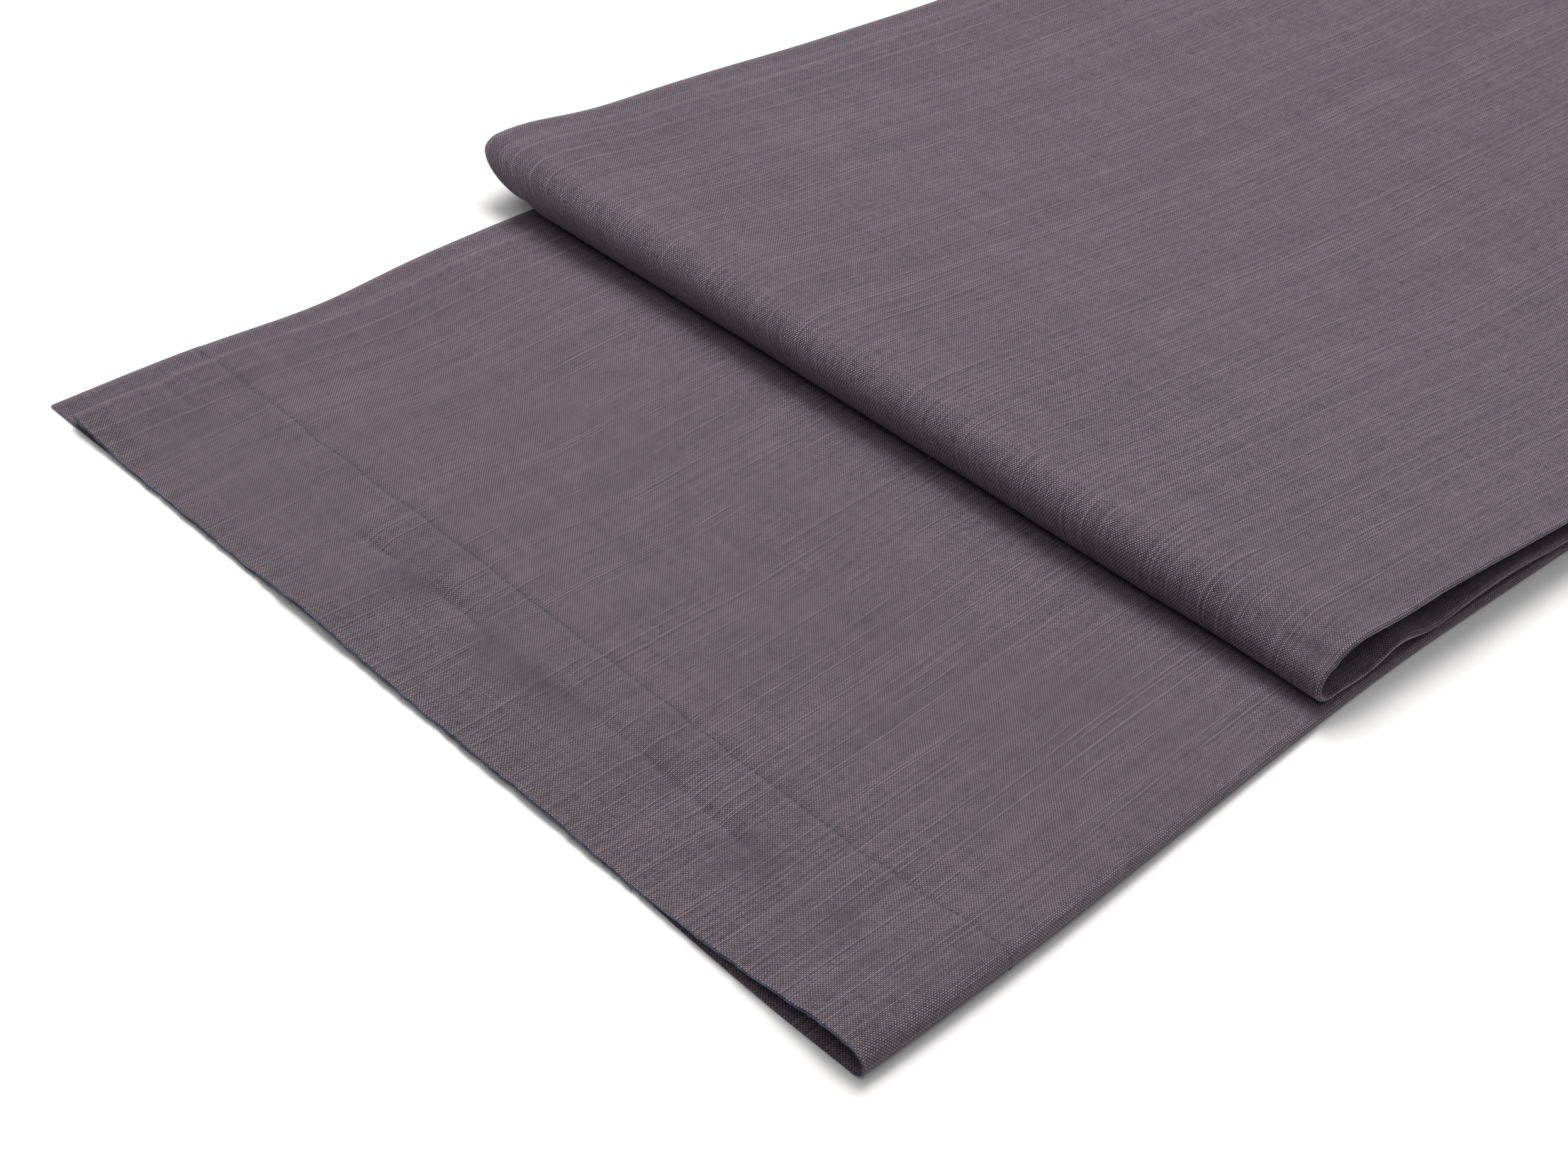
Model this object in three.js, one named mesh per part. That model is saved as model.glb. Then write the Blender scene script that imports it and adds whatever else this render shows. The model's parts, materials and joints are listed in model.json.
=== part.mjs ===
// Folded table runner: a strip of plain-weave cloth, doubled along its length and then folded in three.
// Millimetres, +Z up. X runs along the runner, from the hemmed end that shows to the far fold.
// Y runs across it, from the lengthwise fold (-Y) to the open side edges (+Y).
import * as THREE from 'three';

// The cloth, laid flat
const RUNNER_LENGTH = 1500;
const RUNNER_WIDTH = 500;
const PLY = 0.8;                 // one layer of cloth, with its nap
const HEM_PLY = 1.15;            // the same layer where the end hem is turned in
const HEM_DEPTH = 36;            // from the end edge to the row of stitches
const UPPER_EDGE_SETBACK = 5;    // the upper layer stops short of the lower one at the open side

// The folded stack
const DOUBLED = 2.6;             // two layers with the air between them
const GAP = 0.3;                 // between pieces that touch
const NEAR_FOLD_FROM_HEM = 126;  // hem edge to the tip of the near fold
const NEAR_FOLD_RADIUS = 6.5;    // loose, rounded fold
const NEAR_FOLD_SLOPE = 150;     // over this length the cloth comes down from the loose fold
const TOP_PANEL_SETBACK = 60;    // the top panel's hem stops short of the far fold
const STACK_SKEW = 12;           // the upper panels lean towards the open side at the near fold

// Sewing thread of the end hems
const THREAD_WIDTH = 0.5;
const THREAD_HEIGHT = 0.2;
const GROOVE_WIDTH = 1.1;         // at its floor
const GROOVE_DEPTH = 0.5;
const GROOVE_SIDE = 0.2;          // how far each side of the groove slopes out

// Worked out from those
const WIDTH = RUNNER_WIDTH / 2;
const FAR_FOLD_RADIUS = DOUBLED + GAP / 2;
const NEAR_ARC = Math.PI * (NEAR_FOLD_RADIUS - DOUBLED / 2);
const FAR_ARC = Math.PI * (FAR_FOLD_RADIUS - DOUBLED / 2);
const NEAR_START = NEAR_FOLD_FROM_HEM + NEAR_FOLD_RADIUS;
const STRAIGHT_TOTAL = RUNNER_LENGTH - NEAR_ARC - FAR_ARC;
const LOWER_LENGTH = (STRAIGHT_TOTAL + 2 * NEAR_START + TOP_PANEL_SETBACK) / 3;
const HALF = (LOWER_LENGTH + FAR_FOLD_RADIUS) / 2;
const HEM_X = -HALF;
const FAR_X = HALF - FAR_FOLD_RADIUS;
const NEAR_X = HEM_X + NEAR_START;
const TOP_START_X = NEAR_X + NEAR_FOLD_SLOPE;
const TOP_END_X = FAR_X - TOP_PANEL_SETBACK;
const MIDDLE_Z = DOUBLED + GAP;
const TOP_Z = MIDDLE_Z + DOUBLED + GAP;
const SLOPE_DROP = 2 * NEAR_FOLD_RADIUS - 2 * DOUBLED - GAP;

const FOLD_STEPS = 8;            // facets round the lengthwise fold
const TURN_STEPS = 16;           // facets round a crosswise fold
const SLOPE_STEPS = 10;          // facets down the slope of the near fold

const cloth = new THREE.MeshStandardMaterial({ color: 0x776c74, roughness: 0.92, metalness: 0 });
const thread = new THREE.MeshStandardMaterial({ color: 0x3c3d49, roughness: 0.7, metalness: 0 });

// Points of half a circle round the lengthwise fold, from its bottom to its top or back.
function foldArc(radius, upwards) {
  const points = [];
  for (let i = 0; i <= FOLD_STEPS; i += 1) {
    const part = upwards ? i / FOLD_STEPS : 1 - i / FOLD_STEPS;
    const angle = Math.PI * part;
    const y = -WIDTH / 2 + DOUBLED / 2 - radius * Math.sin(angle);
    points.push(new THREE.Vector2(y, DOUBLED / 2 - radius * Math.cos(angle)));
  }
  return points;
}

// Cross-section of the doubled cloth, anticlockwise: inside of the lower layer, round the fold,
// inside of the upper layer, and back outside.
function layers(outside, inside, margin) {
  const outer = DOUBLED / 2 - outside;
  const inner = DOUBLED / 2 - inside;
  const lowerEdge = WIDTH / 2 - margin;
  const upperEdge = WIDTH / 2 - UPPER_EDGE_SETBACK - margin;
  return [
    new THREE.Vector2(lowerEdge, inside),
    ...foldArc(inner, true),
    new THREE.Vector2(upperEdge, DOUBLED - inside),
    new THREE.Vector2(upperEdge, DOUBLED - outside),
    ...foldArc(outer, false),
    new THREE.Vector2(lowerEdge, outside),
  ];
}

// The same cross-section after a crosswise fold: the layer that was below is above.
function turnedOver(section) {
  return section.map((p) => new THREE.Vector2(p.x, DOUBLED - p.y)).reverse();
}

// Sideways lean of the upper panels, which grows from the far fold to the near one.
function skew(x) {
  return STACK_SKEW * Math.min(1, (FAR_X - x) / (FAR_X - NEAR_X));
}

// Closed skin over rings that all have the same number of points, with a cap at each end.
function skin(rings, section) {
  const count = section.length;
  const positions = rings.flat().flatMap((p) => [p.x, p.y, p.z]);
  const faces = [];
  for (let ring = 0; ring < rings.length - 1; ring += 1) {
    for (let i = 0; i < count; i += 1) {
      const a = ring * count + i;
      const b = ring * count + ((i + 1) % count);
      faces.push(a, b, b + count, a, b + count, a + count);
    }
  }
  const last = (rings.length - 1) * count;
  for (const [a, b, c] of THREE.ShapeUtils.triangulateShape(section, [])) {
    faces.push(a, c, b, last + a, last + b, last + c);
  }
  const geometry = new THREE.BufferGeometry();
  geometry.setAttribute('position', new THREE.Float32BufferAttribute(positions, 3));
  geometry.setIndex(volume(rings.flat(), faces) < 0 ? faces.reverse() : faces);
  geometry.computeVertexNormals();
  return geometry;
}

function volume(points, faces) {
  const normal = new THREE.Vector3();
  let total = 0;
  for (let i = 0; i < faces.length; i += 3) {
    normal.crossVectors(points[faces[i + 1]], points[faces[i + 2]]);
    total += points[faces[i]].dot(normal) / 6;
  }
  return total;
}

const noLean = () => 0;
const plain = layers(0, PLY, 0);
const plainTurned = turnedOver(plain);

// A straight length of cloth or thread through a list of [x, cross-section] stations.
function straight(stations, lean) {
  const rings = stations.map(([x, section]) => (
    section.map((p) => new THREE.Vector3(x, p.x + lean(x), p.y))
  ));
  return skin(rings, stations[0][1]);
}

// Rings of a crosswise fold: the doubled cloth turns over, through half a circle, about a line
// along Y. The direction is +1 for a fold at +X and -1 for one at -X.
function turnRings(section, radius, direction, startX, lean) {
  const rings = [];
  for (let step = 0; step <= TURN_STEPS; step += 1) {
    const angle = (Math.PI * step) / TURN_STEPS;
    rings.push(section.map((p) => {
      const reach = radius - p.y;
      const x = startX + direction * reach * Math.sin(angle);
      return new THREE.Vector3(x, p.x + lean(x), radius - reach * Math.cos(angle));
    }));
  }
  return rings;
}

// Rings that carry on from the top of the near fold and come down to where the top panel lies flat.
function slopeRings(section) {
  const rings = [];
  for (let step = 1; step <= SLOPE_STEPS; step += 1) {
    const part = step / SLOPE_STEPS;
    const x = NEAR_X + part * (NEAR_FOLD_SLOPE - GAP);
    const drop = SLOPE_DROP * THREE.MathUtils.smoothstep(part, 0, 1);
    rings.push(section.map((p) => (
      new THREE.Vector3(x, p.x + skew(x), 2 * NEAR_FOLD_RADIUS - p.y - drop)
    )));
  }
  return rings;
}

function farFoldCloth() {
  return skin(turnRings(plain, FAR_FOLD_RADIUS, 1, FAR_X, noLean), plain);
}

function nearFoldCloth() {
  const turned = turnRings(plainTurned, NEAR_FOLD_RADIUS, -1, NEAR_X, skew);
  return skin([...turned, ...slopeRings(plainTurned)], plainTurned);
}

// A panel with one hemmed end. The row of stitches lies in a shallow groove all round it.
function hemmedPanel(hemX, plainX, lean) {
  const inward = Math.sign(plainX - hemX);
  const at = (fromStitches) => hemX + inward * (HEM_DEPTH + fromStitches);
  const floor = GROOVE_WIDTH / 2;
  const rim = floor + GROOVE_SIDE;
  const hem = layers(0, HEM_PLY, 0);
  const groove = layers(GROOVE_DEPTH, HEM_PLY, 0);
  return straight([
    [hemX, hem], [at(-rim), hem],
    [at(-floor), groove], [at(floor), groove],
    [at(rim), plain], [plainX, plain],
  ], lean);
}

function hemThread(hemX, inward, lean) {
  const section = layers(0, THREAD_HEIGHT, 1);
  const middle = hemX + inward * HEM_DEPTH;
  return straight([
    [middle - THREAD_WIDTH / 2, section], [middle + THREAD_WIDTH / 2, section],
  ], lean);
}

function piece(name, geometry, material) {
  const mesh = new THREE.Mesh(geometry, material);
  mesh.name = name;
  return mesh;
}

const lower = new THREE.Group();
lower.add(piece('lower_panel', hemmedPanel(HEM_X, FAR_X - GAP, noLean), cloth));
lower.add(piece('near_hem_thread', hemThread(HEM_X, 1, noLean), thread));
lower.add(piece('far_fold', farFoldCloth(), cloth));

const middle = new THREE.Group();
middle.position.z = MIDDLE_Z;
const middleStations = [[NEAR_X + GAP, plainTurned], [FAR_X - GAP, plainTurned]];
middle.add(piece('middle_panel', straight(middleStations, skew), cloth));
middle.add(piece('near_fold', nearFoldCloth(), cloth));

const top = new THREE.Group();
top.position.z = TOP_Z;
top.add(piece('top_panel', hemmedPanel(TOP_END_X, TOP_START_X, skew), cloth));
top.add(piece('far_hem_thread', hemThread(TOP_END_X, -1, skew), thread));

const runner = new THREE.Group();
runner.add(lower, middle, top);
runner.position.y = -STACK_SKEW / 2;

const tableRunner = new THREE.Group();
tableRunner.add(runner);

export default tableRunner;
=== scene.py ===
"""A folded table runner of plain-weave cloth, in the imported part's frame.

Blender works in metres and the cloth code in millimetres. Every point of the cloth has two
coordinates: s, across it from the lengthwise fold (the upper layer is positive), and t, along
it from the hemmed end that shows.
"""
import json
import math
import bpy
import numpy as np
from mathutils import Matrix, Vector

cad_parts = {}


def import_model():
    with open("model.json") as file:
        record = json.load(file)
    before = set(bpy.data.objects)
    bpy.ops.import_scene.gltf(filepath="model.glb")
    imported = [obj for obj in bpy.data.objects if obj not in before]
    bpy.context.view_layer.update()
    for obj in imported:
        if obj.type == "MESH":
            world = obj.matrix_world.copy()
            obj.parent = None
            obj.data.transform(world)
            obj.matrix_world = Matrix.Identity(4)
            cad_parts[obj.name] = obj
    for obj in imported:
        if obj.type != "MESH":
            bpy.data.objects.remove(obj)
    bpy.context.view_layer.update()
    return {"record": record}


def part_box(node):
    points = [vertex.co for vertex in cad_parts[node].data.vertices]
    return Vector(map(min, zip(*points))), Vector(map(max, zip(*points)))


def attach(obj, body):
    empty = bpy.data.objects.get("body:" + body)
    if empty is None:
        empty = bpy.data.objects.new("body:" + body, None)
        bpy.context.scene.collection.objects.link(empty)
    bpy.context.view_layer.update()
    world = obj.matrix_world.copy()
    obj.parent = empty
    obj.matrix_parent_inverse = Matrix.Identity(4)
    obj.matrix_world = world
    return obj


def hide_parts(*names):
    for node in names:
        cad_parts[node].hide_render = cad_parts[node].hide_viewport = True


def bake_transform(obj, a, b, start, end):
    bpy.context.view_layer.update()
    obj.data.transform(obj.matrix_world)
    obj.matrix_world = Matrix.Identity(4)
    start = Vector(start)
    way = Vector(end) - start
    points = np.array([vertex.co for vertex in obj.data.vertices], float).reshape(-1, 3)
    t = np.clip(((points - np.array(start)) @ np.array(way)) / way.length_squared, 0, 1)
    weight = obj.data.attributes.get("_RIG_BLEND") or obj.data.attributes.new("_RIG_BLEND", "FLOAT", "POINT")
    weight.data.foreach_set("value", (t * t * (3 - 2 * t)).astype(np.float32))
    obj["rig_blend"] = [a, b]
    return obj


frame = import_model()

MM = 0.001
CAD_GAP = 0.3                # between two CAD pieces that meet
NOISE_CELLS = 128


def box(node):
    """The lowest and highest corner of a CAD node, in millimetres."""
    return [np.array(corner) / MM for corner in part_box(node)]


# The frame of the fold, from the CAD nodes
HEM_X = box("lower_panel")[0][0]
FAR_X = box("far_fold")[0][0]
NEAR_TIP_X = box("near_fold")[0][0]
SLOPE_END_X = box("near_fold")[1][0] + CAD_GAP
TOP_END_X = box("top_panel")[1][0]
LOWER_Z = (box("lower_panel")[0][2] + box("lower_panel")[1][2]) / 2
MIDDLE_Z = (box("middle_panel")[0][2] + box("middle_panel")[1][2]) / 2
TOP_Z = (box("top_panel")[0][2] + box("top_panel")[1][2]) / 2
ROLL_HEIGHT = box("near_fold")[1][2] - box("near_fold")[0][2]
DOUBLED = box("middle_panel")[1][2] - box("middle_panel")[0][2]
FOLD_Y = box("lower_panel")[0][1]
OPEN_Y = box("lower_panel")[1][1]
LEAN = box("middle_panel")[1][1] - OPEN_Y

# The cloth
WIDTH = 500.0
HALF_PLY = 0.25              # half the thickness of one layer
HEM_EXTRA = 0.7              # more thickness inside where the hem is turned in
HEM_DEPTH = 36.0
REST_GAP = 0.95              # half the distance between the two layers where they lie together
HEM_FOLD = 2.5               # radius of the lengthwise fold at the open hem
HEM_LIE = 0.66               # half the distance between the layers along the hem
PAST_HEM_LIE = 0.74          # the same just past it
SIDE_LIE = 0.36              # and at the open side
HEM_SKEW = 0.0135            # how far the hem edge is out of square, per mm across
UPPER_SIDE = 247.5           # the upper layer reaches this far from the lengthwise fold
LOWER_SIDE = -252.5
WARP_PITCH = 0.347           # threads that run along the runner
WEFT_PITCH = 0.313           # threads that run across it
THREAD_DRIFT = 5.0           # how many pitches the threads wander
CREASE_FROM_HEM = 22.5       # the crease across the turned-in hem
FAR_SEAM = 8.0               # the far fold's piece of cloth takes this much on each side of it
NEAR_SEAM = 6.0              # and the near fold's this much of the middle panel
FACE_FLOOR = 0.04            # no face of the cloth is lower than this above the table
BACK_FLOOR = 0.14

# The sewing thread and the loose fibres
STITCH_PITCH = 1.75
STITCH_LENGTH = 1.3
THREAD_RADIUS = 0.135
THREAD_FLOOR = 0.14
FIBRE_COUNT = 1500
FIBRE_RADIUS = 0.028
FIBRE_FLOOR = 0.06
CORD_RADIUS = 0.15

# Lengths along the doubled cloth, from the hem edge
ROLL_OUTER = ROLL_HEIGHT / 2
ROLL_RADIUS = ROLL_OUTER - DOUBLED / 2
FAR_RADIUS = (MIDDLE_Z - LOWER_Z) / 2
NEAR_X = NEAR_TIP_X + ROLL_OUTER
ROLL_Z = MIDDLE_Z + ROLL_RADIUS
ROLL_TOP_Z = ROLL_Z + ROLL_RADIUS
T_FAR = FAR_X - HEM_X
T_MIDDLE = T_FAR + math.pi * FAR_RADIUS
T_NEAR = T_MIDDLE + FAR_X - NEAR_X
T_TIP = T_NEAR + math.pi * ROLL_RADIUS / 2
T_SLOPE = T_NEAR + math.pi * ROLL_RADIUS
T_TOP = T_SLOPE + SLOPE_END_X - NEAR_X
T_END = T_SLOPE + TOP_END_X - NEAR_X


def ease(low, high, x):
    """0 below low, 1 above high, smooth in between."""
    u = np.clip((np.asarray(x, float) - low) / (high - low), 0, 1)
    return u * u * (3 - 2 * u)


def bell(x, centre, spread):
    return np.exp(-(((np.asarray(x, float) - centre) / spread) ** 2))


def noise(u, v, seed):
    """Smooth noise from -1 to 1 with one value per whole step of u and v."""
    table = np.random.default_rng(seed).uniform(-1, 1, (NOISE_CELLS, NOISE_CELLS))
    u, v = np.broadcast_arrays(np.asarray(u, float), np.asarray(v, float))
    iu, iv = np.floor(u).astype(int), np.floor(v).astype(int)
    fu, fv = u - iu, v - iv
    fu, fv = fu**3 * (fu * (6 * fu - 15) + 10), fv**3 * (fv * (6 * fv - 15) + 10)
    u0, u1, v0, v1 = (i % NOISE_CELLS for i in (iu, iu + 1, iv, iv + 1))
    a = table[u0, v0] * (1 - fu) + table[u1, v0] * fu
    b = table[u0, v1] * (1 - fu) + table[u1, v1] * fu
    return a * (1 - fv) + b * fv


def centre_line(t):
    """Place and direction, in X and Z, of the middle of the doubled cloth at length t."""
    t = np.asarray(t, float)
    x, z = np.zeros_like(t), np.zeros_like(t)
    dx, dz = np.ones_like(t), np.zeros_like(t)
    lower, far = t <= T_FAR, (t > T_FAR) & (t <= T_MIDDLE)
    middle, near = (t > T_MIDDLE) & (t <= T_NEAR), (t > T_NEAR) & (t <= T_SLOPE)
    top = t > T_SLOPE
    x[lower], z[lower] = HEM_X + t[lower], LOWER_Z
    turn = (t[far] - T_FAR) / FAR_RADIUS
    x[far] = FAR_X + FAR_RADIUS * np.sin(turn)
    z[far] = LOWER_Z + FAR_RADIUS * (1 - np.cos(turn))
    dx[far], dz[far] = np.cos(turn), np.sin(turn)
    x[middle], z[middle], dx[middle] = FAR_X - (t[middle] - T_MIDDLE), MIDDLE_Z, -1
    turn = (t[near] - T_NEAR) / ROLL_RADIUS
    x[near] = NEAR_X - ROLL_RADIUS * np.sin(turn)
    z[near] = ROLL_Z - ROLL_RADIUS * np.cos(turn)
    dx[near], dz[near] = -np.cos(turn), np.sin(turn)
    along = t[top] - T_SLOPE
    slope = SLOPE_END_X - NEAR_X
    part = np.clip(along / slope, 0, 1)
    drop = ROLL_TOP_Z - TOP_Z
    x[top] = NEAR_X + along
    z[top] = ROLL_TOP_Z - drop * ease(0, 1, part)
    dz[top] = -drop * 6 * part * (1 - part) / slope
    length = np.hypot(dx, dz)
    return x, z, dx / length, dz / length


def lean(x):
    """How far the upper panels lean towards the open side."""
    return LEAN * np.clip((FAR_X - x) / (FAR_X - NEAR_X), 0, 1.02)


def layout(t, x):
    """Y of the lengthwise fold and of the lower layer's side edge, and how far that edge stands
    out past the upper one."""
    stacked = ease(T_FAR, T_MIDDLE, t)
    fold = FOLD_Y + 1 + 9.5 * ease(0, 170, t) - 10.5 * ease(220, 560, t)
    side = OPEN_Y + 2 * (1 - ease(0, 300, t)) - 2.8 * bell(t, 66, 24)
    stacked_fold = FOLD_Y + lean(x) - 1.5 * ease(T_NEAR - 60, T_NEAR, t)
    fold = fold * (1 - stacked) + stacked_fold * stacked
    tucked_in = ease(T_NEAR - 70, T_NEAR - 4, t) * (1 - ease(T_NEAR + 1, T_TIP + 4.5, t))
    flare = 3.0 * bell(t, T_SLOPE + 8, 16) - 13.0 * tucked_in
    side = side * (1 - stacked) + (OPEN_Y + lean(x) + flare) * stacked
    band = 8.5 + 2.5 * ease(T_NEAR - 80, T_NEAR, t)
    band = band + 0.9 * noise(t / 31, 0.5, 5) - 1.5 * bell(t, 50, 18)
    return fold, side, band


def cross_section(s, t, x):
    """Y and the offset from the centre line, for each point of the doubled cloth."""
    fold, side, band = layout(t, x)
    radius = REST_GAP + (HEM_FOLD - REST_GAP) * (1 - ease(10, 150, t))
    radius = radius - 0.5 * ease(T_NEAR - 60, T_NEAR, t)
    reach = np.abs(s)
    arc = math.pi * radius / 2
    turned = np.clip(s / radius, -math.pi / 2, math.pi / 2)
    past = np.maximum(reach - arc, 0)
    edge = np.where(s > 0, side - band, side)
    limit = np.where(s > 0, UPPER_SIDE, -LOWER_SIDE)
    stretch = (edge - fold - radius) / (limit - arc)
    y = fold + radius * (1 - np.cos(turned)) + past * stretch
    lie = HEM_LIE + (PAST_HEM_LIE - HEM_LIE) * ease(34, 48, t)
    lie = lie + (REST_GAP - PAST_HEM_LIE) * ease(120, 150, t)
    lie = lie + (SIDE_LIE - lie) * ease(185, 232, reach) * ease(36, 50, t)
    lie = lie + 0.55 * ease(215, 246, reach) * (1 - ease(4, 30, t))
    gap = lie + (radius - lie) * bell(past, 0, 27 + 30 * ease(40, 120, t))
    offset = np.sign(s) * gap * np.where(reach < arc, np.abs(np.sin(turned)), 1)
    lift = (gap - REST_GAP) * (1 - ease(T_FAR - 20, T_FAR, t) - ease(T_MIDDLE, T_MIDDLE + 20, t))
    return y, offset + lift


def hem_ripple(s, t):
    """The upper layer near the open hem: puckers at the stitches, a dented crease, a wavy edge."""
    upper = ease(2, 9, s)
    off = 0.30 * noise(s / 55 + 3, t / 60, 11) * upper * (1 - ease(118, 165, t))
    off += 0.62 * noise(s / 6.5, t / 40, 12) * upper * bell(t, HEM_DEPTH, 7)
    off += 0.34 * noise(s / 11, t / 30, 18) * upper * bell(t, HEM_DEPTH, 16)
    off += 0.55 * noise(s / 23, t / 26, 13) * upper * (1 - ease(30, 44, t))
    dents = np.clip(1.3 * noise(s / 12, 2.5, 14) + 0.15, 0, 1)
    dents = dents * (0.55 + 0.45 * bell(s, 125, 75)) * (0.75 + 0.35 * noise(s / 5, 4.5, 19))
    crease = CREASE_FROM_HEM + 1.8 * noise(s / 18, 7.5, 15)
    off -= dents * (1.05 * bell(t, crease, 2.9) + 0.70 * bell(t, crease + 0.5, 1.0)) * upper
    off += 0.45 * dents * bell(t, 28, 3.5) * upper
    off -= 0.20 * bell(t, HEM_DEPTH, 0.9) * upper
    off += 0.25 * noise(s / 12, 0.5, 16) * upper * (1 - ease(0, 9, t))
    return off


def roll_ripple(s, t):
    """The loose near fold and the top panel: both layers move together."""
    rise = ease(T_NEAR - 25, T_SLOPE, t) * (1 - ease(T_TOP - 30, T_TOP + 40, t))
    off = rise * (0.55 * noise(s / 60, t / 45, 21) + 0.18 * noise(s / 24, t / 30, 22))
    off -= 0.9 * bell(t, T_SLOPE + 22, 20) * ease(150, 240, np.abs(s))
    off += ease(T_TOP - 30, T_TOP + 40, t) * 0.35 * (1 + noise(s / 70, t / 80, 23))
    return off


def folded_edge_ripple(s, t):
    """The lengthwise fold at the near fold: wavy below it, and pressed back above its tip."""
    waves = 2.7 * bell(t, T_NEAR - 20, 7) + 1.0 * bell(t, T_NEAR - 58, 14)
    waves = waves + 0.5 * noise(t / 12, 0.5, 24)
    waves = waves * ease(T_NEAR - 90, T_NEAR - 45, t) * (1 - ease(T_NEAR - 10, T_NEAR, t))
    pressed = 2.8 * bell(t, T_TIP + 5, 5.5) - 0.9 * bell(t, T_TIP - 4, 3.5)
    pressed = pressed + 0.8 * bell(t, T_SLOPE + 18, 12)
    return -(waves + pressed) * bell(s, 0, 26)


def ripple(s, t):
    """How far the cloth stands off its smooth shape, along the centre line's normal."""
    raised = 0.20 * np.where(t < T_FAR, 1, 0) + 0.15 * ease(T_SLOPE - 8, T_SLOPE, t)
    side_edge = raised * bell(s, UPPER_SIDE - 1.2, 1.6)
    return hem_ripple(s, t) + roll_ripple(s, t) + folded_edge_ripple(s, t) + side_edge


def surface(s, t):
    """Points of the middle of the cloth's one layer, in millimetres."""
    s, t = np.broadcast_arrays(np.asarray(s, float), np.asarray(t, float))
    x, z, dx, dz = centre_line(t)
    y, offset = cross_section(s, t, x)
    offset = offset + ripple(s, t)
    # The hem edge is out of square, and the edge itself is uneven
    slant = HEM_SKEW * (y - FOLD_Y - WIDTH / 4) * (1 - ease(60, 220, t))
    tucked = 0.9 * (1 - ease(-75, -45, s)) * ease(-238, -215, s) - 0.5 * bell(s, -25, 22)
    frayed = 0.22 * noise(s / 2.3, 0.5, 25) * ease(-4, 4, s)
    slant = slant + (tucked + frayed) * (1 - ease(0, 6, t))
    return np.stack([x - dz * offset + slant, y, z + dx * offset], -1)


def normals(s, t):
    """Unit normals that look out of the doubled cloth."""
    step = 0.15
    low_t, high_t = np.clip(t - step, 0, T_END), np.clip(t + step, 0, T_END)
    along = surface(s, high_t) - surface(s, low_t)
    across = surface(s + step, t) - surface(s - step, t)
    out = np.cross(along, across)
    return out / np.linalg.norm(out, axis=-1, keepdims=True)


def thickness(s, t):
    """Outer and inner half thickness: a turned hem inside, beads on the side edges, round rims."""
    side = np.minimum(UPPER_SIDE - s, s - LOWER_SIDE)
    end = np.minimum(t, T_END - t)
    bead = 0.10 * bell(side, 0.9, 0.75)
    turned = (1 - ease(HEM_DEPTH + 0.4, HEM_DEPTH + 1.6, end)) * (0.2 + 0.8 * ease(-6, 6, s))
    near = np.clip(side / 0.55, 0, 1)
    tip = np.clip(end / 0.5, 0, 1)
    round_off = np.sqrt(1 - (1 - near) ** 2) * np.sqrt(1 - (1 - tip) ** 2)
    outer = (HALF_PLY + bead) * (0.2 + 0.8 * round_off)
    inner = (HALF_PLY + bead + HEM_EXTRA * turned) * (0.2 + 0.8 * round_off)
    return outer, inner


def both_faces(s, t):
    """Points of the outer and of the inner face, kept clear of the table."""
    middle, out = surface(s, t), normals(s, t)
    outer, inner = thickness(s, t)
    face, back = middle + out * outer[..., None], middle - out * inner[..., None]
    face[..., 2] = np.maximum(face[..., 2], FACE_FLOOR)
    back[..., 2] = np.maximum(back[..., 2], BACK_FLOOR)
    return face, back


def spaced(*stops):
    """Values from (start, end, step) stretches that follow on."""
    counts = [max(1, int(round((end - start) / step))) for start, end, step in stops]
    parts = [np.linspace(stop[0], stop[1], count + 1)[:-1] for stop, count in zip(stops, counts)]
    return np.append(np.concatenate(parts), stops[-1][1])


COLUMNS = spaced(
    (LOWER_SIDE, LOWER_SIDE + 3, 0.3), (LOWER_SIDE + 3, -8, 2.4), (-8, 8, 0.4),
    (8, UPPER_SIDE - 3, 1.7), (UPPER_SIDE - 3, UPPER_SIDE, 0.3),
)
LOWER_ROWS = spaced(
    (0, 1.2, 0.2), (1.2, 18, 1.3), (18, 28, 0.6), (28, 34, 1.2), (34, 38.4, 0.4),
    (38.4, 130, 2.0), (130, T_FAR - FAR_SEAM, 7.0),
)
FAR_ROWS = spaced(
    (T_FAR - FAR_SEAM, T_FAR, 1.0), (T_FAR, T_MIDDLE, 0.3), (T_MIDDLE, T_MIDDLE + FAR_SEAM, 1.0),
)
MIDDLE_ROWS = spaced(
    (T_MIDDLE + FAR_SEAM, T_NEAR - 100, 7.0), (T_NEAR - 100, T_NEAR - NEAR_SEAM, 2.5),
)
NEAR_ROWS = spaced(
    (T_NEAR - NEAR_SEAM, T_NEAR, 1.0), (T_NEAR, T_SLOPE, 0.5),
    (T_SLOPE, T_SLOPE + 30, 1.5), (T_SLOPE + 30, T_TOP, 2.6),
)
TOP_ROWS = spaced(
    (T_TOP, T_END - 38.4, 2.8), (T_END - 38.4, T_END - 34, 0.4),
    (T_END - 34, T_END - 1.2, 1.6), (T_END - 1.2, T_END, 0.2),
)


def add_mesh(name, points, faces):
    """A smooth-shaded object from points in millimetres."""
    mesh = bpy.data.meshes.new(name)
    mesh.from_pydata((points * MM).tolist(), [], faces)
    mesh.polygons.foreach_set("use_smooth", np.ones(len(mesh.polygons), bool))
    obj = bpy.data.objects.new(name, mesh)
    bpy.context.scene.collection.objects.link(obj)
    return obj


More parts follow.
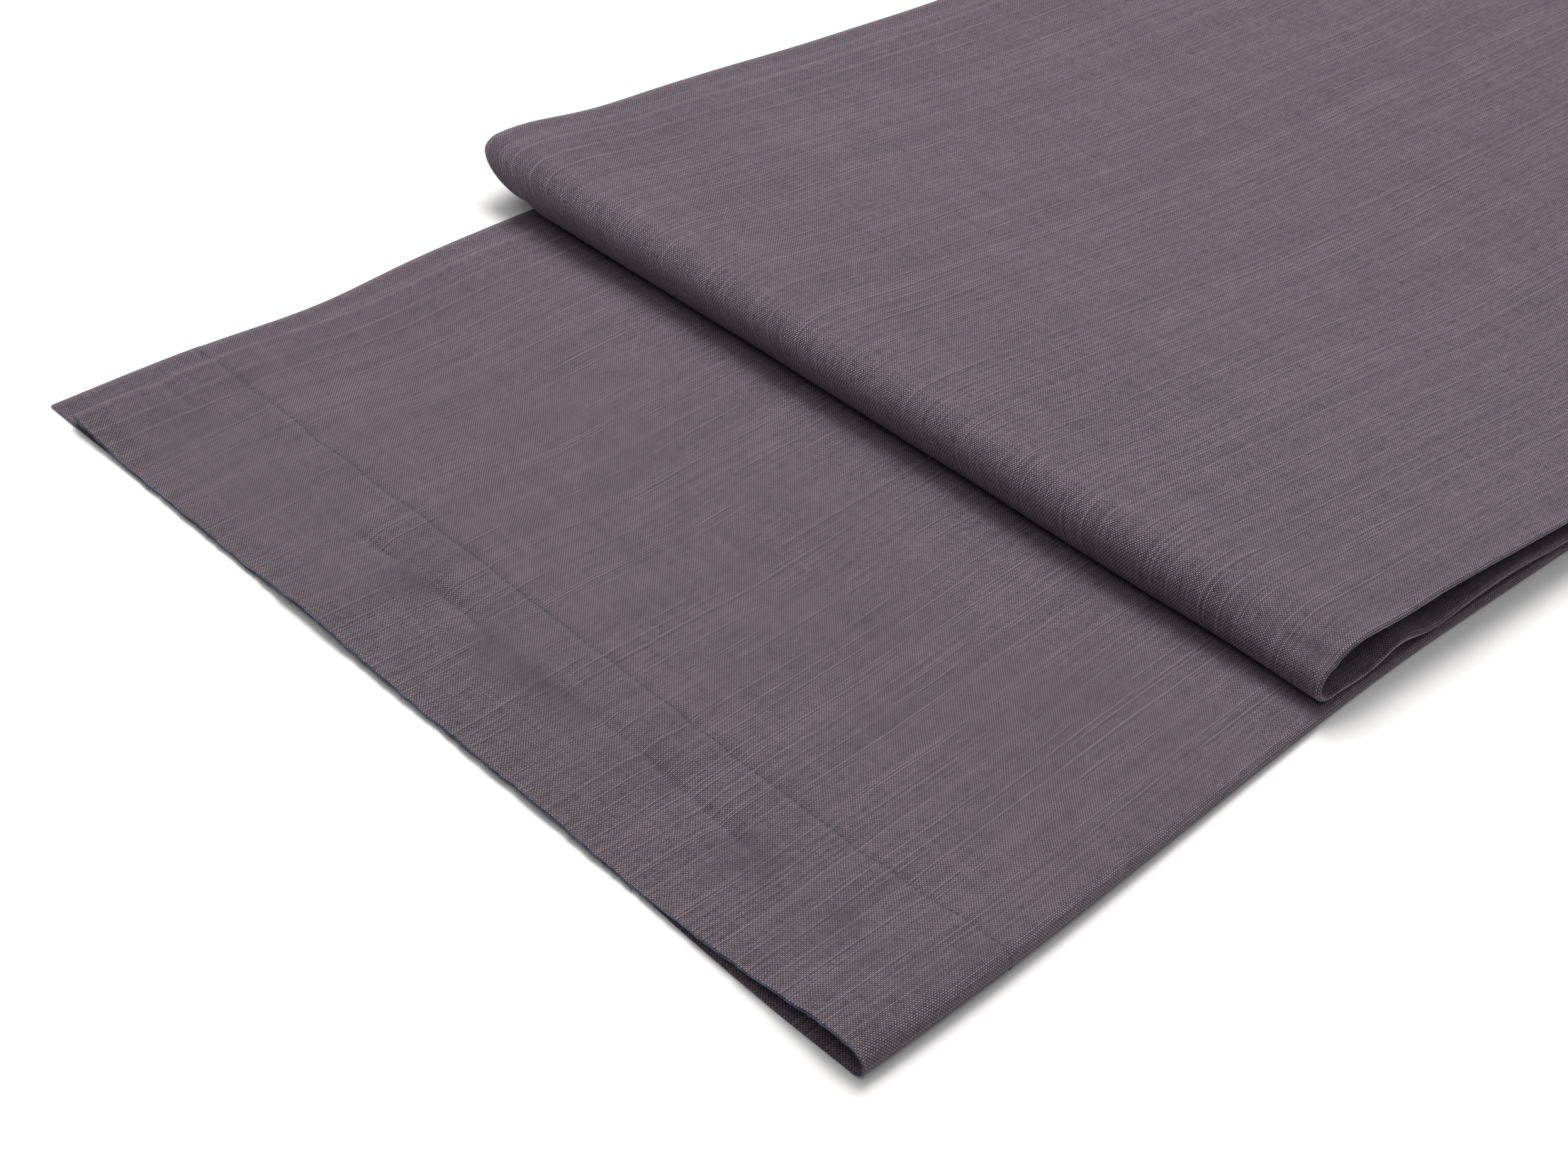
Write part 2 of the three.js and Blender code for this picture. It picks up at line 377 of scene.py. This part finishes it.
def add_cloth_coordinates(mesh, uvs):
    """The cloth's own flat coordinates s and t as a UV layer, in millimetres."""
    layer = mesh.uv_layers.new(name="cloth_mm")
    corner = np.empty(len(mesh.loops), np.int32)
    mesh.loops.foreach_get("vertex_index", corner)
    layer.data.foreach_set("uv", uvs[corner].astype(np.float32).ravel())


def grid_faces(rows, columns, start, flip):
    """Quads over a grid of points that is stored row by row from the index start."""
    i = np.arange(rows - 1)[:, None] * columns + np.arange(columns - 1)[None, :] + start
    i = i.ravel()
    quads = np.stack([i, i + columns, i + columns + 1, i + 1], -1)
    return quads[:, ::-1] if flip else quads


def rim_faces(line, other):
    """Quads that join a line of the face's points to the same line of the back's."""
    return np.stack([line[:-1], line[1:], other[1:], other[:-1]], -1)


def cloth_piece(name, rows):
    """One closed piece of the cloth between two lengths, with a face, a back and rims."""
    t, s = np.meshgrid(rows, COLUMNS, indexing="ij")
    outer, inner = both_faces(s, t)
    out = normals(s, t)
    count_r, count_c = t.shape
    total = count_r * count_c
    points = np.concatenate([outer.reshape(-1, 3), inner.reshape(-1, 3)])
    look = np.concatenate([out.reshape(-1, 3), -out.reshape(-1, 3)])
    index = np.arange(total).reshape(count_r, count_c)
    faces = [grid_faces(count_r, count_c, 0, False), grid_faces(count_r, count_c, total, True)]
    rims = ((index[0], False), (index[-1], True), (index[:, 0], True), (index[:, -1], False))
    for line, flip in rims:
        quads = rim_faces(line, line + total)
        faces.append(quads[:, ::-1] if flip else quads)
    uvs = np.stack([np.concatenate([s.ravel()] * 2), np.concatenate([t.ravel()] * 2)], -1)
    obj = add_mesh(name, points, np.concatenate(faces).tolist())
    add_cloth_coordinates(obj.data, uvs)
    obj.data.normals_split_custom_set_from_vertices(look.tolist())
    return obj, points, uvs


class Nodes:
    """Short names for building a node tree."""

    def __init__(self, material):
        material.use_nodes = True
        self.tree = material.node_tree
        self.shader = self.tree.nodes["Principled BSDF"]

    def new(self, kind, **settings):
        node = self.tree.nodes.new(kind)
        for key, value in settings.items():
            setattr(node, key, value)
        return node

    def put(self, socket, value):
        if isinstance(value, bpy.types.NodeSocket):
            self.tree.links.new(value, socket)
        else:
            socket.default_value = value

    def math(self, operation, *values):
        node = self.new("ShaderNodeMath", operation=operation)
        for socket, value in zip(node.inputs, values):
            self.put(socket, value)
        return node.outputs[0]

    def remap(self, value, low, high, to_low=0.0, to_high=1.0, smooth=False):
        kind = "SMOOTHSTEP" if smooth else "LINEAR"
        node = self.new("ShaderNodeMapRange", interpolation_type=kind)
        names = ("Value", "From Min", "From Max", "To Min", "To Max")
        for key, number in zip(names, (value, low, high, to_low, to_high)):
            self.put(node.inputs[key], number)
        return node.outputs[0]

    def point(self, x, y, z=0.0):
        node = self.new("ShaderNodeCombineXYZ")
        for socket, value in zip(node.inputs, (x, y, z)):
            self.put(socket, value)
        return node.outputs[0]

    def scaled(self, value, factor):
        return self.math("MULTIPLY", value, factor)

    def cloud(self, vector, scale=1.0, detail=1.0):
        node = self.new("ShaderNodeTexNoise", noise_dimensions="3D")
        self.put(node.inputs["Vector"], vector)
        self.put(node.inputs["Scale"], scale)
        self.put(node.inputs["Detail"], detail)
        return node.outputs["Fac"]

    def dice(self, vector):
        node = self.new("ShaderNodeTexWhiteNoise", noise_dimensions="3D")
        self.put(node.inputs["Vector"], vector)
        return node.outputs["Value"]

    def shaded(self, colour, share):
        """The colour times a grey share."""
        return self.mix(1.0, colour, self.point(share, share, share), "MULTIPLY")

    def mix(self, share, a, b, blend="MIX"):
        node = self.new("ShaderNodeMix", data_type="RGBA", blend_type=blend)
        self.put(node.inputs["Factor"], share)
        self.put(node.inputs[6], a)
        self.put(node.inputs[7], b)
        return node.outputs[2]

    def pale_share(self, dice):
        """About a quarter of the warp threads are a little paler, and every tenth is a slub."""
        fine = self.scaled(self.remap(dice, 0.64, 0.70), 0.28)
        return self.math("ADD", fine, self.scaled(self.remap(dice, 0.885, 0.915), 0.72))

    def gauss(self, value, centre, spread):
        off = self.math("DIVIDE", self.math("SUBTRACT", value, centre), spread)
        return self.math("EXPONENT", self.scaled(self.math("MULTIPLY", off, off), -1.0))


# Colours
WARP_DARK, WARP_PALE = (0.080, 0.055, 0.068, 1), (0.560, 0.425, 0.486, 1)
WEFT_DARK, WEFT_PALE = (0.018, 0.015, 0.023, 1), (0.190, 0.160, 0.205, 1)
SLUB_COLOUR = (0.54, 0.44, 0.49, 1)
SLUB_OVER_WEFT = (0.39, 0.315, 0.355, 1)
SLUB_SIDE_SHADE_COLOUR = (0.030, 0.025, 0.032, 1)
SPECK_COLOUR = (0.030, 0.026, 0.034, 1)
SIDE_EDGE_HIGHLIGHT_COLOUR = (0.42, 0.35, 0.37, 1)
DIMPLE_SHADE_COLOUR = (0.06, 0.05, 0.06, 1)
# painted shade for patches along the hem's crease, also used to darken the whole hem a little
HEM_AND_CREASE_SHADE_COLOUR = (0.030, 0.026, 0.032, 1)
THREAD_DARK, THREAD_PALE = (0.035, 0.033, 0.048, 1), (0.110, 0.100, 0.130, 1)
FIBRE_DARK, FIBRE_PALE = (0.010, 0.016, 0.045, 1), (0.060, 0.085, 0.170, 1)
FLOOR_COLOUR = (0.84, 0.84, 0.84, 1)
WHITE = (1, 1, 1, 1)


class Weave:
    """Plain weave over the cloth's flat coordinates: thread numbers, rounding, slubs and height."""

    def __init__(self, n):
        split = n.new("ShaderNodeSeparateXYZ")
        n.put(split.inputs[0], n.new("ShaderNodeUVMap", uv_map="cloth_mm").outputs[0])
        self.n, self.s, self.t = n, split.outputs[0], split.outputs[1]
        self.number_threads()
        self.mark_slubs()
        self.raise_threads()

    def number_threads(self):
        """Which warp and weft thread each point is on, with threads that wander a little."""
        n, s, t = self.n, self.s, self.t
        drift_s = n.cloud(n.point(n.scaled(s, 0.05), n.scaled(t, 0.02)), 1.0, 2.0)
        drift_t = n.cloud(n.point(n.scaled(s, 0.02), n.scaled(t, 0.05), 9.0), 1.0, 2.0)
        across = n.math("ADD", n.math("DIVIDE", s, WARP_PITCH), n.scaled(drift_s, THREAD_DRIFT))
        along = n.math("ADD", n.math("DIVIDE", t, WEFT_PITCH), n.scaled(drift_t, THREAD_DRIFT))
        self.warp, self.weft = n.math("FLOOR", across), n.math("FLOOR", along)
        self.warp_round = n.math("SINE", n.scaled(n.math("FRACT", across), math.pi))
        self.weft_round = n.math("SINE", n.scaled(n.math("FRACT", along), math.pi))
        parity = n.math("PINGPONG", n.math("ADD", self.warp, self.weft), 1.0)
        self.warp_over = n.math("LESS_THAN", parity, 0.5)

    def warp_look(self, thread):
        """A warp thread's own dice, its swell along t, and how much of a slub it is."""
        n = self.n
        dice = n.dice(n.point(thread, 3.0))
        swell = n.cloud(n.point(n.scaled(thread, 7.31), n.scaled(self.t, 0.045)), 1.0, 1.0)
        slub = n.math("MULTIPLY", n.pale_share(dice), n.remap(swell, 0.43, 0.53, smooth=True))
        return dice, swell, slub

    def mark_slubs(self):
        """Slubs along the warp, each with painted shade in the gap beside it."""
        n = self.n
        self.warp_dice, self.warp_swell, slub = self.warp_look(self.warp)
        self.slub_side_shade = self.warp_look(n.math("ADD", self.warp, 1.0))[2]
        stretch = n.math("FLOOR", n.math("DIVIDE", self.weft, 60.0))
        fade = n.dice(n.point(self.warp, stretch, 44.0))
        self.slub = n.math("MULTIPLY", slub, n.remap(fade, 0.0, 1.0, 0.30, 0.90))

    def raise_threads(self):
        """Height of whichever thread lies on top."""
        n, warp, weft = self.n, self.warp_round, self.weft_round
        warp_height = n.math("MULTIPLY", warp, n.math("ADD", 0.35, n.scaled(weft, 0.65)))
        weft_height = n.math("MULTIPLY", weft, n.math("ADD", 0.35, n.scaled(warp, 0.52)))
        mix = n.new("ShaderNodeMix", data_type="FLOAT")
        n.put(mix.inputs[0], self.warp_over)
        n.put(mix.inputs[2], weft_height)
        n.put(mix.inputs[3], warp_height)
        self.height = mix.outputs[0]

    def tone(self, dice, dice_share, swell, share):
        """A thread's tone: its own dice, its swell, short patches and single crossings."""
        n = self.n
        spot = n.dice(n.point(self.warp, self.weft, 31.0))
        stretch = n.math("FLOOR", n.math("DIVIDE", self.weft, 5.0))
        patch = n.dice(n.point(self.warp, stretch, 8.0))
        uneven = n.math("ADD", swell, n.math("ADD", patch, spot))
        return n.math("ADD", n.scaled(dice, dice_share), n.scaled(uneven, share))

    def colour(self):
        """Warp and weft colours, slubs, and shade in the gaps between threads."""
        n = self.n
        weft_dice = n.dice(n.point(self.weft, 17.0))
        weft_place = n.point(n.scaled(self.s, 0.06), n.scaled(self.weft, 5.77), 4.0)
        weft_swell = n.cloud(weft_place, 1.0, 1.0)
        warp_tone = self.tone(self.warp_dice, 0.26, self.warp_swell, 0.20)
        weft_tone = self.tone(weft_dice, 0.40, weft_swell, 0.19)
        warp_colour = n.mix(warp_tone, WARP_DARK, WARP_PALE)
        warp_colour = n.mix(n.scaled(self.slub, 0.66), warp_colour, SLUB_COLOUR)
        colour = n.mix(self.warp_over, n.mix(weft_tone, WEFT_DARK, WEFT_PALE), warp_colour)
        crown = n.scaled(n.math("MULTIPLY", self.warp_round, self.warp_round), 0.75)
        colour = n.mix(n.math("MULTIPLY", self.slub, crown), colour, SLUB_OVER_WEFT)
        # painted shade in the gap beside each slub
        colour = n.mix(n.scaled(self.slub_side_shade, 0.34), colour, SLUB_SIDE_SHADE_COLOUR)
        return n.shaded(colour, n.remap(self.height, 0.10, 0.80, 0.10, 1.10))


def mottled(n, s, t, colour):
    """Broad mottling and small dark specks."""
    mottle = n.cloud(n.point(n.scaled(s, 0.09), n.scaled(t, 0.09), 2.0), 1.0, 4.0)
    colour = n.shaded(colour, n.remap(mottle, 0.3, 0.7, 0.93, 1.07))
    cell = n.new("ShaderNodeTexVoronoi", feature="F1")
    n.put(cell.inputs["Vector"], n.point(n.scaled(s, 0.045), n.scaled(t, 0.045)))
    n.put(cell.inputs["Scale"], 1.0)
    speck = n.math("LESS_THAN", cell.outputs["Distance"], 0.016)
    return n.mix(n.scaled(speck, 0.7), colour, SPECK_COLOUR)


def side_edge_highlight(n, s, colour):
    # painted highlight along the side edges, where the thick edge catches light
    side = n.math("MINIMUM", n.math("SUBTRACT", UPPER_SIDE, s), n.math("SUBTRACT", s, LOWER_SIDE))
    return n.mix(n.scaled(n.gauss(side, 0.7, 0.8), 0.14), colour, SIDE_EDGE_HIGHLIGHT_COLOUR)


def stitch_dimples(n, s, end):
    """1 in each dimple of the hem's row of stitches. end is the distance from the nearer end."""
    beat = n.math("SUBTRACT", n.math("FRACT", n.math("DIVIDE", s, STITCH_PITCH)), 0.5)
    beat = n.remap(n.math("ABSOLUTE", beat), 0.30, 0.5, 0.35, 1.0, smooth=True)
    return n.math("MULTIPLY", n.gauss(end, HEM_DEPTH, 0.65), beat)


def darker_hem_and_crease_shade(n, s, t, end, colour):
    """The hem is a little darker, and painted shade darkens patches along its crease."""
    place = n.point(n.scaled(s, 0.055), n.scaled(t, 0.02), 12.0)
    # painted shade in patches along the hem's crease (narrow and wide); band only makes the hem a little
    # darker
    crease_shade_patches = n.remap(n.cloud(place, 1.0, 2.0), 0.44, 0.64, smooth=True)
    narrow = n.scaled(n.gauss(end, 22.0, 2.4), 0.22)
    wide = n.scaled(n.gauss(end, 19.0, 7.0), 0.13)
    band = n.remap(end, HEM_DEPTH - 3, HEM_DEPTH + 1, 0.055, 0.0)
    hem_and_crease_shade = n.math("ADD", n.math("MULTIPLY", crease_shade_patches, n.math("ADD", narrow, wide)), band)
    return n.mix(hem_and_crease_shade, colour, HEM_AND_CREASE_SHADE_COLOUR)


def cloth_relief(n, weave, dimple):
    """Bump of the threads, the slubs and the fuzz, less the dimples, in millimetres."""
    fuzz = n.cloud(n.point(n.scaled(weave.s, 2.2), n.scaled(weave.t, 2.2), 5.0), 1.0, 2.0)
    slub = n.scaled(n.math("MULTIPLY", weave.slub, weave.warp_round), 0.14)
    relief = n.math("ADD", n.scaled(weave.height, 0.16), slub)
    relief = n.math("ADD", relief, n.scaled(fuzz, 0.06))
    return n.math("SUBTRACT", relief, n.scaled(dimple, 0.16))


def bump(n, strength, distance, height):
    node = n.new("ShaderNodeBump")
    n.put(node.inputs["Strength"], strength)
    n.put(node.inputs["Distance"], distance)
    n.put(node.inputs["Height"], height)
    n.put(n.shader.inputs["Normal"], node.outputs[0])


def cloth_material():
    material = bpy.data.materials.new("runner_cloth")
    n = Nodes(material)
    weave = Weave(n)
    s, t = weave.s, weave.t
    end = n.math("MINIMUM", t, n.math("SUBTRACT", T_END, t))
    dimple = stitch_dimples(n, s, end)
    colour = side_edge_highlight(n, s, mottled(n, s, t, weave.colour()))
    # painted shade in the dimples of the hem's row of stitches
    colour = n.mix(n.scaled(dimple, 0.38), colour, DIMPLE_SHADE_COLOUR)
    n.put(n.shader.inputs["Base Color"], darker_hem_and_crease_shade(n, s, t, end, colour))
    n.put(n.shader.inputs["Roughness"], n.remap(weave.height, 0.0, 1.0, 0.95, 0.72))
    n.shader.inputs["Specular IOR Level"].default_value = 0.25
    n.shader.inputs["Sheen Weight"].default_value = 0.18
    n.shader.inputs["Sheen Roughness"].default_value = 0.45
    n.shader.inputs["Sheen Tint"].default_value = (0.95, 0.86, 0.92, 1)
    bump(n, 0.8, MM, cloth_relief(n, weave, dimple))
    return material


def thread_material():
    material = bpy.data.materials.new("hem_thread")
    n = Nodes(material)
    coords = n.new("ShaderNodeTexCoord").outputs["Object"]
    twist = n.new("ShaderNodeTexWave", wave_type="BANDS", bands_direction="DIAGONAL")
    n.put(twist.inputs["Vector"], coords)
    n.put(twist.inputs["Scale"], 900.0)
    n.put(twist.inputs["Distortion"], 1.5)
    tone = n.cloud(coords, 700.0, 2.0)
    share = n.math("ADD", n.scaled(twist.outputs["Fac"], 0.6), n.scaled(tone, 0.4))
    n.put(n.shader.inputs["Base Color"], n.mix(share, THREAD_DARK, THREAD_PALE))
    n.put(n.shader.inputs["Roughness"], n.remap(tone, 0.3, 0.7, 0.55, 0.8))
    bump(n, 0.5, 0.05 * MM, twist.outputs["Fac"])
    return material


def fibre_material():
    material = bpy.data.materials.new("edge_fibre")
    n = Nodes(material)
    tone = n.cloud(n.new("ShaderNodeTexCoord").outputs["Object"], 350.0, 2.0)
    n.put(n.shader.inputs["Base Color"], n.mix(n.remap(tone, 0.35, 0.65), FIBRE_DARK, FIBRE_PALE))
    n.put(n.shader.inputs["Roughness"], n.remap(tone, 0.3, 0.7, 0.6, 0.85))
    return material


def tubes(name, lines, radii, sides=6):
    """Many thin tubes as one mesh, from lines of shape (tubes, points, 3) and their radii."""
    lines = np.asarray(lines, float)
    count, steps = lines.shape[:2]
    radii = np.broadcast_to(radii, (count, steps))
    along = np.gradient(lines, axis=1)
    along /= np.maximum(np.linalg.norm(along, axis=-1, keepdims=True), 1e-9)
    up = np.where(np.abs(along[..., 2:3]) < 0.9, np.array([0.0, 0, 1]), np.array([1.0, 0, 0]))
    side = np.cross(along, up)
    side /= np.linalg.norm(side, axis=-1, keepdims=True)
    up = np.cross(side, along)
    angle = np.arange(sides) * 2 * math.pi / sides
    ring = side[:, :, None] * np.cos(angle)[:, None] + up[:, :, None] * np.sin(angle)[:, None]
    points = lines[:, :, None] + ring * radii[:, :, None, None]
    base = (np.arange(count) * steps * sides)[:, None, None]
    k = np.arange(steps - 1)[None, :, None] * sides
    j = np.arange(sides)[None, None, :]
    a, b = base + k + j, base + k + (j + 1) % sides
    quads = np.stack([a, b, b + sides, a + sides], -1).reshape(-1, 4).tolist()
    caps = []
    for i in range(count):
        first = i * steps * sides
        last = first + (steps - 1) * sides
        caps.append(list(range(first, first + sides))[::-1])
        caps.append(list(range(last, last + sides)))
    return add_mesh(name, points.reshape(-1, 3), quads + caps)


def stitches(name, end_t, inward, seed):
    """A row of lockstitch on the outer and the inner face of the hem, one tube per stitch."""
    dice = np.random.default_rng(seed)
    starts = np.arange(LOWER_SIDE + 2.0, UPPER_SIDE - 2.5, STITCH_PITCH)
    wander = 0.22 * noise(starts / 35, 0.5, seed + 1) + 0.10 * noise(starts / 6, 0.5, seed + 2)
    part = np.linspace(0, 1, 7)
    s = starts[:, None] + part[None, :] * STITCH_LENGTH + 0.15
    from_middle = 2 * part - 1
    slant = dice.uniform(-0.07, 0.07, (len(starts), 1)) * from_middle
    t = end_t + inward * (HEM_DEPTH + wander[:, None] + slant)
    middle, out = surface(s, t), normals(s, t)
    outer, inner = thickness(s, t)
    arch = 0.04 - 0.34 * from_middle**6
    on_outer = middle + out * (outer + arch)[..., None]
    on_inner = middle - out * (inner + arch)[..., None]
    lines = np.concatenate([on_outer, on_inner])
    lines[..., 2] = np.maximum(lines[..., 2], THREAD_FLOOR)
    return tubes(name, lines, THREAD_RADIUS * (1 - 0.35 * from_middle**4))


def edge_fibres(name, seed):
    """Dark blue loose fibres along the turned edge of the hem."""
    dice = np.random.default_rng(seed)
    count, steps = FIBRE_COUNT, 6
    s = dice.uniform(-4, UPPER_SIDE - 2, count)
    t = np.full(count, 0.05)
    root, out = surface(s, t), normals(s, t)
    _, inner = thickness(s, np.full(count, 0.9))
    root = root - out * (inner * dice.uniform(-0.25, 0.45, count))[:, None]
    forward = -dice.uniform(0.05, 0.8, count)
    heading = np.stack([forward, dice.normal(0, 1.4, count), dice.normal(0, 0.5, count)], -1)
    heading /= np.linalg.norm(heading, axis=-1, keepdims=True)
    curl = dice.normal(0, 0.5, (count, 3))
    length = dice.gamma(2.0, 0.28, count) + 0.2
    part = np.linspace(0, 1, steps)[None, :, None]
    bent = heading[:, None] * part + curl[:, None] * part**2 * 0.5
    lines = root[:, None] + bent * length[:, None, None]
    lines[..., 2] = np.maximum(lines[..., 2], FIBRE_FLOOR)
    return tubes(name, lines, FIBRE_RADIUS * (1 - 0.6 * np.linspace(0, 1, steps)), 4)


def edge_cord(name):
    """A fine dark blue cord just inside the turned edge of the hem."""
    s = np.linspace(2.0, UPPER_SIDE - 1.5, 700)
    t = np.zeros_like(s)
    middle, out = surface(s, t), normals(s, t)
    low = 0.16 + 0.10 * noise(s / 3.0, 0.5, 61)
    line = middle - out * low[:, None] + np.array([-0.06, 0, 0])
    radii = CORD_RADIUS + 0.05 * noise(s / 1.7, 0.5, 62)
    return tubes(name, line[None], radii[None], 6)


CLOTH = cloth_material()
THREAD = thread_material()
FIBRE = fibre_material()


def dress(obj, material):
    obj.data.materials.append(material)
    return obj


lower, _, _ = cloth_piece("lower_cloth", LOWER_ROWS)
far, _, far_uvs = cloth_piece("far_fold_cloth", FAR_ROWS)
middle, _, _ = cloth_piece("middle_cloth", MIDDLE_ROWS)
near, near_points, near_uvs = cloth_piece("near_fold_cloth", NEAR_ROWS)
top, _, _ = cloth_piece("top_cloth", TOP_ROWS)
near_stitches = stitches("near_hem_stitches", 0.0, 1, 71)
far_stitches = stitches("far_hem_stitches", T_END, -1, 81)
fibres = edge_fibres("near_hem_fibres", 91)
cord = edge_cord("near_hem_edge_cord")

for obj in (lower, far, middle, near, top):
    dress(obj, CLOTH)
for obj in (near_stitches, far_stitches):
    dress(obj, THREAD)
for obj in (fibres, cord):
    dress(obj, FIBRE)

for obj, node in (
    (lower, "lower_panel"), (far, "far_fold"), (middle, "middle_panel"), (near, "near_fold"),
    (top, "top_panel"), (near_stitches, "near_hem_thread"), (far_stitches, "far_hem_thread"),
):
    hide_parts(node)
for obj in (lower, near_stitches, fibres, cord):
    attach(obj, "lower_body")
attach(middle, "middle_body")
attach(top, "top_body")
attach(far_stitches, "top_body")

JOINTS = {joint["name"]: joint for joint in frame["record"]["behaviour"]["joints"]}


def set_weights(obj, weights):
    """Replace a blended piece's shares of the turn by ones that follow the cloth."""
    attribute = obj.data.attributes["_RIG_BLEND"]
    attribute.data.foreach_set("value", np.clip(weights, 0, 1).astype(np.float32))


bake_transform(far, "lower_body", "middle_body", (FAR_X * MM, 0, 0), (FAR_X * MM, 0, 0.01))
set_weights(far, (far_uvs[:, 1] - T_FAR) / (T_MIDDLE - T_FAR))

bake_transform(near, "middle_body", "top_body", (NEAR_X * MM, 0, 0), (NEAR_X * MM, 0, 0.01))
pivot_x, _, pivot_z = [v / MM for v in JOINTS["near_fold_opens"]["pos_m"]]
OFF_LINE_LIMIT = 1.4         # millimetres off the centre line that a point keeps when it lies flat
SMOOTHING_PASSES = 8


def flat_height(across, t):
    """How far the opened fold rises where it passes over the hem of the panel below."""
    rise = ease(T_SLOPE - 14, T_SLOPE + 26, t) * (1 - ease(T_SLOPE + 132, T_TOP - 1, t))
    return rise * (1.7 + 3.3 * bell(across, 0, 70) + 1.0 * ease(195, 235, np.abs(across)))


def near_weights(points, uvs):
    """How far each point turns, so that the fold and its slope lie flat and level when the top
    panel is turned over."""
    shape = (2, len(NEAR_ROWS), len(COLUMNS))
    t = uvs[:, 1]
    x, z = points[:, 0] - pivot_x, points[:, 2] - pivot_z
    reach = np.maximum(np.hypot(x, z), 0.05)
    line_x, line_z, dx, dz = centre_line(t)
    off_line = (points[:, 2] - line_z) * dx - (points[:, 0] - line_x) * dz
    off_line = np.clip(off_line, -OFF_LINE_LIMIT, OFF_LINE_LIMIT)
    flat_z = MIDDLE_Z - pivot_z - off_line + flat_height(uvs[:, 0], t)
    flat_x = NEAR_X - pivot_x - (t - T_NEAR)
    by_place = np.arctan2(flat_z, flat_x)
    by_level = math.pi - np.arcsin(np.clip(flat_z / reach, -1, 1))
    goal = np.where(t < T_TIP, by_place, by_level)
    turn = (goal - np.arctan2(z, x) + math.pi / 2) % (2 * math.pi) - math.pi / 2
    weights = np.where(t <= T_NEAR, 0, np.clip(turn / math.pi, 0, 1))
    at_top = ease(T_TOP - 12, T_TOP, t)
    weights = (weights * (1 - at_top) + at_top).reshape(shape)
    for _ in range(SMOOTHING_PASSES):
        weights[:, 1:-1] = (weights[:, :-2] + 2 * weights[:, 1:-1] + weights[:, 2:]) / 4
    return weights.ravel()


set_weights(near, near_weights(near_points, near_uvs))

# The floor and the world, in metres and light strengths
FLOOR_HALF = 8.0
GLOW_FROM, GLOW_TO, GLOW = 1.1, 5.0, 0.62
WORLD_LIGHT, WORLD_SEEN = 0.08, 0.85


def floor_material():
    """Pale, with a little glow far from the lamps, so that it stays pale up to the horizon."""
    material = bpy.data.materials.new("pale_floor")
    n = Nodes(material)
    n.shader.inputs["Base Color"].default_value = FLOOR_COLOUR
    n.shader.inputs["Roughness"].default_value = 0.9
    n.shader.inputs["Specular IOR Level"].default_value = 0.1
    distance = n.new("ShaderNodeVectorMath", operation="LENGTH")
    n.put(distance.inputs[0], n.new("ShaderNodeTexCoord").outputs["Object"])
    glow = n.remap(distance.outputs["Value"], GLOW_FROM, GLOW_TO, 0.0, GLOW)
    n.put(n.shader.inputs["Emission Strength"], glow)
    n.shader.inputs["Emission Color"].default_value = WHITE
    return material


def floor():
    corners = [(-1, -1), (1, -1), (1, 1), (-1, 1)]
    mesh = bpy.data.meshes.new("floor")
    points = [(FLOOR_HALF * x, FLOOR_HALF * y, 0) for x, y in corners]
    mesh.from_pydata(points, [], [(0, 1, 2, 3)])
    obj = bpy.data.objects.new("floor", mesh)
    bpy.context.scene.collection.objects.link(obj)
    mesh.materials.append(floor_material())


def world():
    """Even white light, weak on the cloth and pale where the camera sees it."""
    sky = bpy.data.worlds.new("studio")
    bpy.context.scene.world = sky
    sky.use_nodes = True
    nodes, links = sky.node_tree.nodes, sky.node_tree.links
    background = nodes["Background"]
    background.inputs["Color"].default_value = WHITE
    strength = nodes.new("ShaderNodeMapRange")
    strength.inputs["To Min"].default_value = WORLD_LIGHT
    strength.inputs["To Max"].default_value = WORLD_SEEN
    links.new(nodes.new("ShaderNodeLightPath").outputs["Is Camera Ray"], strength.inputs["Value"])
    links.new(strength.outputs[0], background.inputs["Strength"])


# Name, place, point aimed at, side, watts, colour
LAMPS = (
    ("overhead", (0.25, 0.45, 1.35), (-0.1, 0.0, 0), 0.8, 21, (1.0, 0.985, 0.975)),
    ("wide_ceiling", (0.0, 0.3, 3.5), (0.0, 0.3, 0), 7.0, 126, (1.0, 0.99, 0.98)),
    ("front_fill", (-1.2, -0.8, 1.5), (-0.2, 0, 0), 1.0, 3, (0.97, 0.98, 1.0)),
)


def lamp(name, place, aim, side, watts, colour):
    light = bpy.data.lights.new(name, "AREA")
    light.shape = "RECTANGLE"
    light.size, light.size_y = side, side
    light.energy, light.color = watts, colour
    obj = bpy.data.objects.new(name, light)
    obj.location = place
    obj.rotation_euler = (Vector(aim) - Vector(place)).to_track_quat("-Z", "Y").to_euler()
    bpy.context.scene.collection.objects.link(obj)


def studio():
    floor()
    world()
    for values in LAMPS:
        lamp(*values)
    settings = bpy.context.scene.view_settings
    settings.view_transform = "Standard"
    settings.look = "None"
    settings.exposure = 0.0


# The photograph's viewpoint, about 0.57 m from the cloth
CAMERA_PLACE = (-0.5445, -0.3495, 0.3524)
CAMERA_HEADING = -44.7
CAMERA_TILT = 52.3
CAMERA_ROLL = 2.8
CAMERA_LENS = 66.58


def camera():
    data = bpy.data.cameras.new("camera")
    data.lens = CAMERA_LENS
    data.sensor_width = 36.0
    data.clip_start, data.clip_end = 0.01, 20
    obj = bpy.data.objects.new("camera", data)
    bpy.context.scene.collection.objects.link(obj)
    turn = Matrix.Rotation(math.radians(CAMERA_HEADING), 4, "Z")
    turn = turn @ Matrix.Rotation(math.radians(CAMERA_TILT), 4, "X")
    turn = turn @ Matrix.Rotation(math.radians(CAMERA_ROLL), 4, "Z")
    obj.matrix_world = Matrix.Translation(CAMERA_PLACE) @ turn
    bpy.context.scene.camera = obj


studio()
camera()
